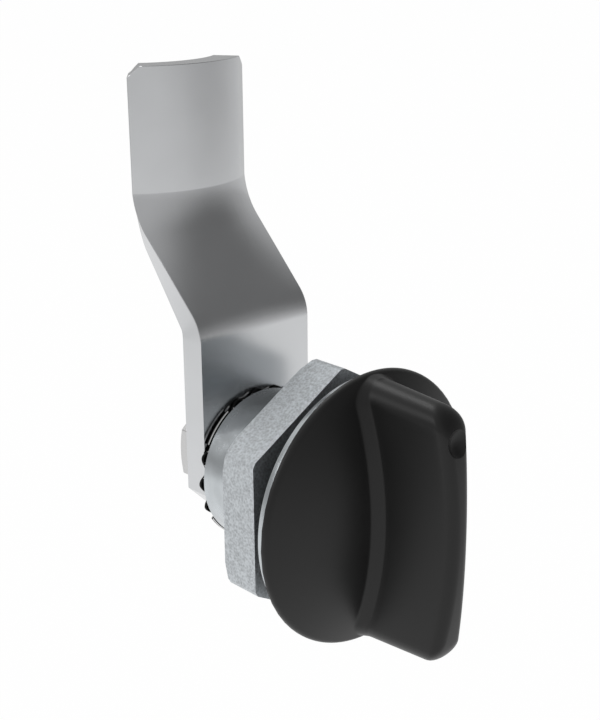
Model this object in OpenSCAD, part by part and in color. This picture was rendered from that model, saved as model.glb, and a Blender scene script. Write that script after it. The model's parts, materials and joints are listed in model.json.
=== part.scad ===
// Quarter-turn cam latch with a wing knob, clamped in a panel by a hexagon nut.
// The latch axis is Y: the knob is in front (-Y), the cam behind (+Y), and the tongue points up (+Z).
// The origin is on the axis in the plane of the panel's front face, where the gasket meets it.

/* [Panel] */
// Thickness of the panel that the latch clamps
panel_t = 2; // [1:0.1:3.5]
// Thickness of the gasket between flange and panel
gasket_t = 0.5; // [0.3:0.05:0.9]
// Outer diameter of the gasket
gasket_d = 28.4; // [25:0.1:30]

/* [Knob] */
// Diameter of the knob's disc
knob_d = 32.2; // [31:0.1:38]
// Thickness of the disc at its edge
knob_edge_t = 0.2; // [0.2:0.05:0.8]
// Radius of the disc's domed front
knob_dome_r = 43; // [36:1:56]
// Rounding of the disc's front edge
knob_rim_r = 0.7; // [0.3:0.1:1.2]
// Distance of the wing's front edge from the knob's back
wing_h = 13.95; // [12:0.05:20]
// Distance of the wing's ends from the disc's edge, measured at the knob's back
wing_end_gap = 0.15; // [0.12:0.01:3]
// Length of the wing at its front edge
wing_nose_len = 29.7; // [24:0.1:30.8]
// Thickness of the wing, carried down to the knob's back
wing_root_t = 4.9; // [4:0.1:7]
// Thickness of the wing's front edge in the middle
wing_nose_t = 2.8; // [2.4:0.1:3.8]
// Thickness of the wing's front edge at its ends
wing_nose_end_t = 4; // [3:0.1:4.8]
// Radius of the bow along the wing's front edge
wing_crown_r = 68; // [50:1:200]
// Rounding along both sides of the wing's front edge
wing_nose_r = 1; // [0.4:0.1:1.1]
// Rounding of the wing's front edge at its ends
wing_end_r = 2.5; // [0.8:0.1:4]
// Width of the bevel where the wing's flanks leave the disc
wing_bevel = 1.1; // [0.4:0.1:1.6]
// Diameter of the position dimple in the wing's front edge
dimple_d = 3.2; // [2:0.1:3.4]
// Depth of the position dimple
dimple_depth = 0.8; // [0.4:0.1:1.2]
// Distance of the position dimple from the latch axis
dimple_offset = 11.6; // [6:0.1:11.8]

/* [Housing] */
// Diameter of the flange
flange_d = 30.4; // [29:0.1:32]
// Thickness of the flange
flange_t = 1.2; // [0.9:0.1:2]
// Diameter of the smooth barrel behind the thread
barrel_d = 18.6; // [17.6:0.1:18.7]
// Length of the barrel behind the panel's front face
barrel_len = 15.7; // [14:0.1:24]
// Major diameter of the housing's thread
thread_d = 20; // [19.8:0.1:21]
// Pitch of the housing's thread
thread_pitch = 1; // [0.75:0.25:1]
// Distance across the two flats that stop the housing from turning in the panel
thread_flats = 18.8; // [18.6:0.05:19.4]

/* [Nut] */
// Distance across the nut's flats
nut_af = 27; // [25:0.5:32]
// Thickness of the nut
nut_t = 5.1; // [3:0.1:6]
// Depth of the chamfer on the corners of the nut's back face
nut_chamfer = 1; // [0.4:0.1:1.6]

/* [Spindle] */
// Diameter of the journal that runs in the barrel
journal_d = 10; // [9.6:0.1:10.6]
// Diameter of the collar under the knob
collar_d = 18; // [17.2:0.1:22]
// Thickness of the collar
collar_t = 1.5; // [1:0.1:1.8]
// Distance across the flats that carry the cam
square_af = 8; // [7.6:0.1:9]
// Thickness of the flat tang inside the wing
tang_t = 1.6; // [1:0.1:2]
// Width of the flat tang inside the wing
tang_w = 14; // [8:0.5:18]
// Length of the tang in front of the collar
tang_len = 8; // [4:0.1:9]
// Distance of the seal's groove behind the panel's front face
seal_y = 3.4; // [2:0.1:4]
// Thickness of the seal ring's cord
seal_cord = 1.06; // [0.8:0.02:1.2]

/* [Stop] */
// Angle through which the latch turns
turn_angle = 90; // [60:5:120]
// Diameter of the stop pin
pin_d = 2.4; // [1.6:0.1:2.6]
// Distance of the stop pin from the latch axis
pin_orbit = 7.2; // [7:0.05:7.3]
// Length of the stop pin behind the collar
pin_reach = 2; // [1:0.1:3]

/* [Wave washer] */
// Outer diameter of the wave washer
wave_od = 18.9; // [16:0.1:20]
// Inner diameter of the wave washer
wave_id = 12.4; // [11:0.1:14]
// Thickness of the wave washer's sheet
wave_t = 0.3; // [0.2:0.05:0.5]
// Space between the barrel's end and the cam
wave_space = 0.86; // [0.7:0.02:1.4]
// Angle from one wave to the next
wave_pitch = 19.5; // [15:0.5:21]

/* [Cam] */
// Width of the cam's strip at the hub
cam_w = 16.9; // [14:0.1:20]
// Thickness of the cam's strip
cam_t = 3.3; // [2.5:0.1:4]
// Distance of the hub's lower end from the latch axis
hub_end = 8; // [7.4:0.1:10]
// Corner cut of the hub's lower end
hub_cut = 5.9; // [1:0.1:6]
// Height above the latch axis at which the crank starts
bend_start = 17.1; // [10:0.1:24]
// Slope of the crank's edges
bend_angle = 45; // [30:1:60]
// Radius of both bends along the strip's edges
bend_r = 4.8; // [4:0.1:7]
// Backward offset of the tongue's middle from the hub
crank = 8.33; // [4:0.1:14]
// Radius of the tongue's front face across its width
tongue_r = 13.3; // [11.5:0.1:40]
// Width of the tongue, measured straight across
tongue_w = 17.26; // [14:0.1:19]
// Height of the tongue's end above the latch axis
tongue_end = 47.1; // [40:0.1:70]
// Corner cut of the tongue's end
tongue_cut = 1.2; // [0.3:0.1:3]

/* [Cam screw] */
// Major diameter of the screw's thread
screw_d = 6; // [5:0.5:6]
// Pitch of the screw's thread
screw_pitch = 1; // [0.75:0.25:1]
// Length of the screw under its head
screw_len = 14; // [9:1:14]
// Distance across the flats of the screw's head
head_af = 10; // [9:0.5:13]
// Height of the screw's head
head_h = 4.15; // [3:0.05:6]
// Outer diameter of the lock washer
lock_od = 11.8; // [10:0.1:14]
// Thickness of the lock washer
lock_t = 1.6; // [1:0.1:2.5]
// Width of the lock washer's split
lock_split = 0.8; // [0.4:0.1:1.5]

/* [Fits] */
// Radial clearance of the running fit between journal and barrel
run_clear = 0.04; // [0.01:0.01:0.1]
// Clearance of seats that don't turn against each other
seat_clear = 0.05; // [0.02:0.01:0.1]
// Radial clearance of the threads
thread_clear = 0.08; // [0.04:0.01:0.15]
// Radial clearance of the pressed stop pin
press_clear = 0.01; // [0.005:0.005:0.02]
// Clearance of the stop pin in its slot
stop_clear = 0.1; // [0.05:0.05:0.2]
// Space between the knob and the flange
knob_gap = 0.2; // [0.1:0.05:0.4]

/* [Hidden] */
$fn = 96;
slack = 1;
arc_steps = 8;
edge_cut = 0.3;
bore_wall = 0.2;

// Places along the axis, from front to back
flange_back = -gasket_t;
flange_front = flange_back - flange_t;
knob_back = flange_front - knob_gap;
wing_nose = knob_back - wing_h;
collar_back = flange_front - seat_clear;
collar_front = collar_back - collar_t;
tang_front = collar_front - tang_len;
nut_front = panel_t + seat_clear / 2;
nut_back = nut_front + nut_t;
cam_front = barrel_len + wave_space;
cam_back = cam_front + cam_t;
square_back = cam_back - bore_wall;
head_front = cam_back + lock_t;
head_back = head_front + head_h;
screw_tip = head_front - screw_len;
drill_end = screw_tip - slack;

// Radii that fits share
bore_r = journal_d / 2 + run_clear;
groove_r = bore_r - seal_cord - 2 * seat_clear;
slot_r = pin_d / 2 + stop_clear;

// Threads: depth of a metric profile as a share of its pitch, and the turns of the housing's thread
thread_depth = 0.6134;
thread_turns = ceil((nut_back + edge_cut - flange_back) / thread_pitch);
thread_end = flange_back + thread_turns * thread_pitch;
screw_turns = ceil(screw_len / screw_pitch);

// Tongue: y of its front face at a distance x from the middle, and its slope across the strip
function tongue_y(x) = cam_front + crank + tongue_r - sqrt(tongue_r * tongue_r - x * x);
function tongue_slope(x) = x / sqrt(tongue_r * tongue_r - x * x);
edge_offset = tongue_y(tongue_w / 2) - cam_front;

// Crank along the strip's edge: two arcs with a straight between them.
// Each station is [height, share of the offset reached, slope of that share].
bend_in = bend_r * (1 - cos(bend_angle));
bend_up = bend_r * sin(bend_angle);
straight_up = (edge_offset - 2 * bend_in) / tan(bend_angle);
bend_end = bend_start + 2 * bend_up + straight_up;
bend_steps = 8;
lower_bend = [for (i = [0:bend_steps]) let (a = bend_angle * i / bend_steps)
    [bend_start + bend_r * sin(a), bend_r * (1 - cos(a)) / edge_offset, tan(a) / edge_offset]];
upper_bend = [for (i = [bend_steps:-1:0]) let (a = bend_angle * i / bend_steps)
    [bend_end - bend_r * sin(a), 1 - bend_r * (1 - cos(a)) / edge_offset, tan(a) / edge_offset]];
stations = concat(lower_bend, upper_bend, [[tongue_end, 1, 0]]);

// Places across the strip as shares of its half width, with the corner cuts among them
cut_share = 1 - 2 * tongue_cut / tongue_w;
across_steps = 14;
shares = concat([-1], [for (i = [0:across_steps]) cut_share * (2 * i / across_steps - 1)], [1]);

// Front point and back point of the strip at a station and a share of the half width
function strip_half(s) = (cam_w + (tongue_w - cam_w) * s) / 2;
function end_drop(share) = max(0, abs(share) - cut_share) * tongue_w / 2;
function strip_front(st, share) = let (x = share * strip_half(st[1]))
    [x, cam_front + (tongue_y(x) - cam_front) * st[1], st[0] - (st[0] == tongue_end ? end_drop(share) : 0)];
function strip_normal(st, share) = let (x = share * strip_half(st[1]))
    [-st[1] * tongue_slope(x), 1, -(tongue_y(x) - cam_front) * st[2]];
function strip_back(st, share) = let (n = strip_normal(st, share))
    strip_front(st, share) + n * cam_t / norm(n);

// Zigzag of a thread as [radius, y] points, from y0 backwards
function thread_points(major_r, pitch, y0, turns) = let (root_r = major_r - thread_depth * pitch)
    [for (k = [0:turns - 1]) each [
        [root_r, y0 + (k + 2 / 16) * pitch],
        [major_r, y0 + (k + 7 / 16) * pitch],
        [major_r, y0 + (k + 9 / 16) * pitch],
        [root_r, y0 + (k + 14 / 16) * pitch]]];

// Points of an arc about a centre, from one angle to another
function arc(centre, r, from, to) = [for (i = [0:arc_steps])
    let (a = from + (to - from) * i / arc_steps) centre + r * [cos(a), sin(a)]];

// Mirror image of an outline in its second axis, in reverse order
function mirrored(points) = [for (i = [len(points) - 1:-1:0]) [-points[i][0], points[i][1]]];

// Domed front of the knob's disc: a sphere that runs into the rounding of the disc's edge.
// Centre of that rounding, centre of the sphere, angle where they meet, and y at a distance from the axis.
rim_centre = [knob_d / 2 - knob_rim_r, knob_back - knob_edge_t];
rim_angle = asin(rim_centre[0] / (knob_dome_r - knob_rim_r));
dome_centre = rim_centre[1] + (knob_dome_r - knob_rim_r) * cos(rim_angle);
function dome_y(r) = dome_centre - sqrt(knob_dome_r * knob_dome_r - r * r);

// Front edge of the wing: height above the knob's back at a place z along it
function crown(z) = wing_h - wing_crown_r + sqrt(wing_crown_r * wing_crown_r - z * z);

// Steps of the wing's skin up its flanks and along them, and how deep its bevel sinks into the disc
flank_steps = 6;
side_steps = 8;
bevel_sink = 0.15;

// Outline of the wing at a height above the knob's back, drawn in by an inset of its sides and ends.
// A quarter of it runs from the lower end's tip to the middle as [x, z, share of the end in the normal].
function mix(a, b, share) = a + (b - a) * share;
function wing_tip(h) = mix(knob_d / 2 - wing_end_gap, wing_nose_len / 2, h / wing_h);
function end_half(h) = mix(wing_root_t, wing_nose_end_t, h / wing_h) / 2;
function middle_half(h) = mix(wing_root_t, wing_nose_t, h / wing_h) / 2;
function wing_quarter(h, side_in, end_in) =
    let (r = end_half(h) - side_in, z = wing_tip(h) - end_in - r, m = middle_half(h) - side_in)
    concat([for (i = [0:arc_steps]) let (a = 90 * i / arc_steps)
            [r * sin(a), -z - r * cos(a), cos(a)]],
        [for (i = [1:side_steps]) let (s = 1 - i / side_steps) [mix(m, r, s * s), -z * s, 0]]);
function wing_outline(h, side_in = 0, end_in = 0) =
    let (low = wing_quarter(h, side_in, end_in), n = len(low) - 1,
        right = concat(low, [for (i = [n - 1:-1:0]) [low[i][0], -low[i][1], low[i][2]]]))
    concat(right, [for (i = [2 * n - 1:-1:1]) [-right[i][0], right[i][1], right[i][2]]]);

// Rings of the wing's skin: bevel at the disc, flanks, and rounding over the front edge
function ring_point(p, y) = [p[0], y, p[1]];
function pushed(p, side_out, end_out) = let (out = mix(side_out, end_out, p[2] * p[2]))
    [p[0] + sign(p[0]) * sqrt(1 - p[2] * p[2]) * out, p[1] + sign(p[1]) * p[2] * out];
function bevel_outline() = [for (p = wing_outline(wing_bevel))
    pushed(p, wing_bevel + bevel_sink, wing_end_gap / 2)];
function nose_r(p) = mix(wing_nose_r, wing_end_r, p[2] * p[2]);
function flank_ring(share) =
    let (low = wing_outline(wing_bevel), high = wing_outline(wing_h))
    [for (i = [0:len(low) - 1])
        let (bottom = knob_back - dome_y(norm([low[i][0], low[i][1]])) + wing_bevel,
            top = crown(low[i][1]) - nose_r(low[i]), h = mix(bottom, top, share))
        ring_point(mix(low[i], high[i], (h - wing_bevel) / (wing_h - wing_bevel)), knob_back - h)];
function nose_ring(a) =
    let (inset = 1 - cos(a), low = wing_outline(wing_bevel, wing_nose_r * inset, wing_end_r * inset),
        high = wing_outline(wing_h, wing_nose_r * inset, wing_end_r * inset))
    [for (i = [0:len(low) - 1]) let (h = crown(low[i][1]) - nose_r(low[i]) * (1 - sin(a)))
        ring_point(mix(low[i], high[i], (h - wing_bevel) / (wing_h - wing_bevel)), knob_back - h)];

// Solid of revolution about the latch axis from [radius, y] points
module turned(points) {
    rotate([-90, 0, 0]) rotate_extrude() polygon(points);
}

// Cylinder along the latch axis from y0 to y1
module rod(r, y0, y1) {
    translate([0, y0, 0]) rotate([-90, 0, 0]) cylinder(r = r, h = y1 - y0);
}

// Outline seen from the front, x to the right and z up, made solid from y0 to y1
module front_solid(y0, y1) {
    translate([0, y1, 0]) rotate([90, 0, 0]) linear_extrude(height = y1 - y0) children();
}

// Threaded core along the latch axis, with its crests grown by a clearance
module threaded_core(major_d, pitch, y0, turns, grow) {
    turned(concat([[0, y0]],
        [[major_d / 2 + grow - thread_depth * pitch, y0]],
        thread_points(major_d / 2 + grow, pitch, y0, turns),
        [[major_d / 2 + grow - thread_depth * pitch, y0 + turns * pitch]],
        [[0, y0 + turns * pitch]]));
}

// Wing of the knob: a skin over rings of points, closed at the back and along its front edge
module wing() {
    rings = concat([[for (p = bevel_outline()) ring_point(p, knob_back - knob_edge_t / 2)]],
        [[for (p = bevel_outline()) ring_point(p, dome_y(norm(p)) + bevel_sink)]],
        [for (i = [0:flank_steps]) flank_ring(i / flank_steps)],
        [for (i = [1:arc_steps]) nose_ring(90 * i / arc_steps)]);
    around = len(rings[0]);
    last = (len(rings) - 1) * around;
    skin = [for (k = [0:len(rings) - 2], i = [0:around - 1]) let (j = (i + 1) % around) each [
        [k * around + i, (k + 1) * around + j, k * around + j],
        [k * around + i, (k + 1) * around + i, (k + 1) * around + j]]];
    back = [[for (i = [0:around - 1]) i]];
    front = [for (i = [0:around / 2 - 1]) let (j = (around - i) % around) each concat(
        i > 0 ? [[last + i, last + j, last + i + 1]] : [],
        i < around / 2 - 1 ? [[last + i + 1, last + j, last + around - i - 1]] : [])];
    polyhedron([for (ring = rings) each ring], concat(skin, back, front));
}

// Black moulded knob: domed disc, wing, seat for the spindle's collar and tang, position dimple
module wing_knob() {
    sphere_r = (dimple_d * dimple_d / 4 + dimple_depth * dimple_depth) / (2 * dimple_depth);
    dome = arc([0, dome_centre], knob_dome_r, -90, rim_angle - 90);
    rim = [for (i = [1:arc_steps]) let (a = mix(rim_angle - 90, 0, i / arc_steps))
        rim_centre + knob_rim_r * [cos(a), sin(a)]];
    color("#2b2b2c") difference() {
        union() {
            turned(concat([[0, knob_back]], dome, rim, [[knob_d / 2, knob_back]]));
            wing();
        }
        rod(collar_d / 2 + seat_clear, collar_front - seat_clear, knob_back + slack);
        front_solid(tang_front - seat_clear, collar_front)
            square([tang_t + 2 * seat_clear, tang_w + 2 * seat_clear], center = true);
        translate([0, knob_back - crown(dimple_offset) + dimple_depth - sphere_r, dimple_offset])
            sphere(r = sphere_r);
    }
}

// Spindle: tang, collar, journal with the seal's groove, flats for the cam, tapped hole
module spindle() {
    groove_half = seal_cord / 2 + seat_clear;
    color("#b9bcc0") difference() {
        union() {
            front_solid(tang_front, collar_front) square([tang_t, tang_w], center = true);
            rod(collar_d / 2, collar_front, collar_back);
            rod(journal_d / 2, collar_back, cam_front);
            intersection() {
                rod(journal_d / 2, cam_front, square_back);
                front_solid(cam_front, square_back) square(square_af, center = true);
            }
        }
        difference() {
            rod(bore_r + slack, seal_y - groove_half, seal_y + groove_half);
            rod(groove_r, seal_y - slack, seal_y + slack);
        }
        threaded_core(screw_d, screw_pitch, screw_tip, screw_turns, thread_clear);
        rod(screw_d / 2 - thread_depth * screw_pitch, drill_end, screw_tip + slack);
        at_stop_pin(0) rod(pin_d / 2 + press_clear, collar_front - slack, collar_back + slack);
    }
}

// Place of the stop pin after the latch has turned by an angle
module at_stop_pin(turned_by) {
    rotate([0, turned_by - turn_angle / 2, 0]) translate([0, 0, pin_orbit]) children();
}

// Dowel in the collar that meets both ends of the housing's slot
module stop_pin() {
    color("#8e9196") at_stop_pin(0) rod(pin_d / 2, collar_front, collar_back + pin_reach);
}

// Seal ring in the spindle's groove
module spindle_o_ring() {
    color("#1d1d1f") turned([for (i = [0:4 * arc_steps - 1])
        [groove_r + seat_clear + seal_cord / 2, seal_y]
            + seal_cord / 2 * [cos(90 * i / arc_steps), sin(90 * i / arc_steps)]]);
}

// Slot of the stop pin: a quarter ring with round ends
module stop_slot() {
    slot_end = collar_back + pin_reach + stop_clear;
    for (a = [0, turn_angle])
        at_stop_pin(a) rod(slot_r, flange_front - slack, slot_end);
    rotate([-90, 0, 0]) rotate([0, 0, -90 - turn_angle / 2]) rotate_extrude(angle = turn_angle)
        translate([pin_orbit - slot_r, flange_front - slack])
            square([2 * slot_r, slot_end - flange_front + slack]);
}

// Die-cast housing: flange, thread with two flats, smooth barrel, bore and stop slot
module housing() {
    flange_r = flange_d / 2;
    barrel_r = barrel_d / 2;
    root_r = thread_d / 2 - thread_depth * thread_pitch;
    color("#a9adb1") difference() {
        turned(concat(
            [[bore_r, barrel_len], [bore_r, flange_front], [flange_r - edge_cut, flange_front],
                [flange_r, flange_front + edge_cut], [flange_r, flange_back], [root_r, flange_back]],
            thread_points(thread_d / 2, thread_pitch, flange_back, thread_turns),
            [[root_r, thread_end], [barrel_r, thread_end], [barrel_r, barrel_len - edge_cut],
                [barrel_r - edge_cut, barrel_len]]));
        stop_slot();
        for (side = [0, 1]) mirror([side, 0, 0])
            translate([thread_flats / 2, flange_back, -thread_d])
                cube([thread_d, thread_end - flange_back, 2 * thread_d]);
    }
}

// Flat rubber ring between the flange and the panel
module flange_gasket() {
    color("#232325") difference() {
        rod(gasket_d / 2, flange_back, 0);
        rod(thread_d / 2 + seat_clear, flange_back - slack, slack);
    }
}

// Hexagon nut, one corner up, with a flat front face and a conical chamfer on its back
module panel_nut() {
    corner_r = nut_af / sqrt(3);
    blank_r = corner_r + slack;
    chamfer_h = (nut_chamfer + slack) * tan(30);
    core_turns = ceil((nut_back - flange_back) / thread_pitch) + 1;
    color("#a7adb1") difference() {
        intersection() {
            front_solid(nut_front, nut_back) rotate([0, 0, 90]) circle(r = corner_r, $fn = 6);
            turned([[0, nut_front], [blank_r, nut_front], [blank_r, nut_back - chamfer_h],
                [corner_r - nut_chamfer, nut_back], [0, nut_back]]);
        }
        threaded_core(thread_d, thread_pitch, flange_back, core_turns, thread_clear);
    }
}

// Spring washer with a group of waves in each quarter and a level stretch between the groups
module wave_washer() {
    count = 180;
    low = barrel_len + seat_clear;
    lift = wave_space - wave_t - 2 * seat_clear;
    quarter = 90;
    group_waves = 3;
    function wave(a) = let (p = (a + quarter / 2) % quarter - quarter / 2)
        abs(p) > group_waves / 2 * wave_pitch ? 0 : (1 + cos(360 * p / wave_pitch)) / 2;
    function at(r, a, y) = [r * cos(a), y, r * sin(a)];
    points = [for (i = [0:count - 1]) let (a = 360 * i / count, y = low + lift * wave(a)) each [
        at(wave_id / 2, a, y), at(wave_od / 2, a, y),
        at(wave_od / 2, a, y + wave_t), at(wave_id / 2, a, y + wave_t)]];
    faces = [for (i = [0:count - 1], k = [0:3])
        let (j = (i + 1) % count, m = (k + 1) % 4) each [
            [4 * i + k, 4 * j + k, 4 * i + m],
            [4 * i + m, 4 * j + k, 4 * j + m]]];
    color("#3a3c3f") polyhedron(points, faces);
}

// Cranked and curved stretch of the cam above its flat hub
module cam_strip() {
    rows = len(stations);
    cols = len(shares);
    front = [for (st = stations, share = shares) strip_front(st, share)];
    back = [for (st = stations, share = shares) strip_back(st, share)];
    half = rows * cols;
    function front_at(i, k) = i * cols + k;
    function back_at(i, k) = half + i * cols + k;
    front_faces = [for (i = [0:rows - 2], k = [0:cols - 2]) each [
        [front_at(i, k), front_at(i + 1, k), front_at(i + 1, k + 1)],
        [front_at(i, k), front_at(i + 1, k + 1), front_at(i, k + 1)]]];
    back_faces = [for (i = [0:rows - 2], k = [0:cols - 2]) each [
        [back_at(i, k), back_at(i + 1, k + 1), back_at(i + 1, k)],
        [back_at(i, k), back_at(i, k + 1), back_at(i + 1, k + 1)]]];
    side_faces = [for (i = [0:rows - 2]) each [
        [front_at(i, 0), back_at(i + 1, 0), front_at(i + 1, 0)],
        [front_at(i, 0), back_at(i, 0), back_at(i + 1, 0)],
        [front_at(i, cols - 1), front_at(i + 1, cols - 1), back_at(i + 1, cols - 1)],
        [front_at(i, cols - 1), back_at(i + 1, cols - 1), back_at(i, cols - 1)]]];
    end_faces = [for (k = [0:cols - 2]) each [
        [front_at(0, k), front_at(0, k + 1), back_at(0, k + 1)],
        [front_at(0, k), back_at(0, k + 1), back_at(0, k)],
        [front_at(rows - 1, k), back_at(rows - 1, k + 1), front_at(rows - 1, k + 1)],
        [front_at(rows - 1, k), back_at(rows - 1, k), back_at(rows - 1, k + 1)]]];
    polyhedron(concat(front, back), concat(front_faces, back_faces, side_faces, end_faces));
}

// Steel cam: flat hub with a square hole, crank and curved tongue
module cam() {
    half_w = cam_w / 2;
    right = [[half_w - hub_cut, -hub_end], [half_w, hub_cut - hub_end], [half_w, bend_start]];
    color("#b4b6b8") union() {
        difference() {
            front_solid(cam_front, cam_back) polygon(concat(right, mirrored(right)));
            front_solid(cam_front - slack, cam_back + slack)
                square(square_af + 2 * seat_clear, center = true);
        }
        cam_strip();
    }
}

// Split spring washer, clamped flat under the screw's head
module lock_washer() {
    color("#9a9da1") difference() {
        rod(lock_od / 2, cam_back, head_front);
        rod(screw_d / 2 + stop_clear, cam_back - slack, head_front + slack);
        translate([-lock_split / 2, cam_back - slack, -lock_od])
            cube([lock_split, lock_t + 2 * slack, lock_od]);
    }
}

// Hexagon head screw that holds the cam on the spindle
module cam_screw() {
    corner_r = head_af / sqrt(3);
    chamfer_h = (corner_r - head_af / 2) * tan(30);
    color("#c3c5c7") union() {
        intersection() {
            front_solid(head_front, head_back) rotate([0, 0, 90]) circle(r = corner_r, $fn = 6);
            turned([[0, head_front], [corner_r, head_front], [corner_r, head_back - chamfer_h],
                [head_af / 2, head_back], [0, head_back]]);
        }
        intersection() {
            threaded_core(screw_d, screw_pitch, screw_tip, screw_turns, 0);
            rod(screw_d, screw_tip, head_front);
        }
    }
}

wing_knob();
spindle();
stop_pin();
spindle_o_ring();
housing();
flange_gasket();
panel_nut();
wave_washer();
cam();
lock_washer();
cam_screw();
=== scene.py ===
# %% [markdown]
# # A quarter-turn cam latch
# This latch holds a cabinet door shut. A wing knob in front turns a spindle by a quarter turn, and the
# spindle carries a cranked steel cam that draws against the door frame. A threaded housing and a big
# hexagon nut clamp the latch in the panel.
# The construction comes ready as a frame of plain solids at their real size. This lesson dresses them:
# each piece that shows is modelled again with eased edges and gets a finish of its own.

# %% Load the frame
import json
import math

import bmesh
import bpy
from mathutils import Matrix, Vector


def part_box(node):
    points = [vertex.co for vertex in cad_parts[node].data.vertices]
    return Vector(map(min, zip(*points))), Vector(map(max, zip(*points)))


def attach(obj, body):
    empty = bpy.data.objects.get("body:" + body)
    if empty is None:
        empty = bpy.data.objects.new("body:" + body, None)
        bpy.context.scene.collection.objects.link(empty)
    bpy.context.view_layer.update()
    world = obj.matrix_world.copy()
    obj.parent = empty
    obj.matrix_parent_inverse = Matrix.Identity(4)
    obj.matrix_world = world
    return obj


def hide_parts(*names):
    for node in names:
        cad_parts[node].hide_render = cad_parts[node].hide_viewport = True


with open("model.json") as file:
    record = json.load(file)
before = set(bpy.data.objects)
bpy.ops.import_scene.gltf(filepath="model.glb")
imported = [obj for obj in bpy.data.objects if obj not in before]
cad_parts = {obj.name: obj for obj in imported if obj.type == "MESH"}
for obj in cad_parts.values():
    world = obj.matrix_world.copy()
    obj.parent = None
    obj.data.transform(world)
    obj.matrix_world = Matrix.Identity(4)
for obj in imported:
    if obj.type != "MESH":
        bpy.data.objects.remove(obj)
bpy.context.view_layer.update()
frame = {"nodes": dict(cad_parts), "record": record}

record = frame["record"]
bodies = record["behaviour"]["bodies"]
print("nodes:", sorted(frame["nodes"]))

# %% [markdown]
# ## Units and places
# Sizes are easiest to read in millimetres, so every mesh is built in millimetres and scaled to metres
# once, when it is finished. Where a size can be read off the frame, it is: then the dressed piece and
# its solid can't drift apart.

# %% Sizes read off the frame
MM = 0.001


def node_box(node):
    """Lowest and highest corner of a solid, in millimetres."""
    low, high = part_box(node)
    return low / MM, high / MM


knob_low, knob_high = node_box("wing_knob")
housing_low, housing_high = node_box("housing")
gasket_low, gasket_high = node_box("flange_gasket")
nut_low, nut_high = node_box("panel_nut")
wave_low, wave_high = node_box("wave_washer")
cam_low, cam_high = node_box("cam")
lock_low, lock_high = node_box("lock_washer")
screw_low, screw_high = node_box("cam_screw")

# %% [markdown]
# ## Camera
# The camera's place, direction and focal length were solved from the outlines of nut, flange, knob and
# cam in the picture. A camera could also be aimed by hand, but a solved one lets every edge be compared.
# The focal length is in pixels of the picture, and the sensor's width stands for its long side.

# %% Camera
IMAGE_HEIGHT = 720
FOCAL_PIXELS = 1339.7
CAMERA_AZIMUTH, CAMERA_ELEVATION, CAMERA_ROLL = (math.radians(a) for a in (-43.075, 19.025, -0.454))
CAMERA_PLACE = Vector((-99.285, -97.193, 64.883)) * MM
NEAREST_SEEN = 10

camera = bpy.data.objects.new("camera", bpy.data.cameras.new("camera"))
bpy.context.scene.collection.objects.link(camera)
backward = Vector((
    math.sin(CAMERA_AZIMUTH) * math.cos(CAMERA_ELEVATION),
    -math.cos(CAMERA_AZIMUTH) * math.cos(CAMERA_ELEVATION),
    math.sin(CAMERA_ELEVATION)))
level_right = Vector((0, 0, 1)).cross(backward).normalized()
level_up = backward.cross(level_right)
right = math.cos(CAMERA_ROLL) * level_right + math.sin(CAMERA_ROLL) * level_up
up = math.cos(CAMERA_ROLL) * level_up - math.sin(CAMERA_ROLL) * level_right
camera.matrix_world = Matrix.Translation(CAMERA_PLACE) @ Matrix((right, up, backward)).transposed().to_4x4()
camera.data.lens = camera.data.sensor_width * FOCAL_PIXELS / IMAGE_HEIGHT
camera.data.clip_start = NEAREST_SEEN * MM
bpy.context.scene.camera = camera
print("lens, mm:", round(camera.data.lens, 2))

# %% [markdown]
# ## Shader maths
# A finish is a small program of nodes. Wiring nodes one by one hides what they compute, so a value on a
# socket is wrapped in a class that knows plus and times: each operator adds its Math node. One method adds
# every other kind of node.

# %% Sockets that calculate
class Value:
    """A socket of a finish, for shader maths written as Python expressions."""

    def __init__(self, finish, socket):
        self.finish = finish
        self.socket = socket

    def maths(self, operation, other):
        return self.finish.node("Math", {"operation": operation}, {0: self, 1: other}).out("Value")

    def __add__(self, other):
        return self.maths("ADD", other)

    def __mul__(self, other):
        return self.maths("MULTIPLY", other)

    def either(self, other):
        """The higher of two values, so that of two switches one is enough."""
        return self.maths("MAXIMUM", other)

    __radd__ = __add__
    __rmul__ = __mul__


class Made:
    """A node just added, whose outputs come back as values."""

    def __init__(self, finish, node):
        self.finish = finish
        self.node = node

    def out(self, name):
        return Value(self.finish, self.node.outputs[name])


print("values ready: plus, times and either")

# %% [markdown]
# A finish holds one node tree and the few recipes that come back in every material: a ramp, a mix of two
# colours, soft noise, a bump and the closing shader. Each could be wired afresh in every material, but then
# a change of the recipe would have to be made many times. The Mix node has sockets for numbers, vectors and
# colours under the same names, so its colour sockets are picked by their number.

# %% Node trees
MIX_FACTOR, MIX_FIRST, MIX_SECOND, MIX_RESULT = 0, 6, 7, 2


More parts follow.
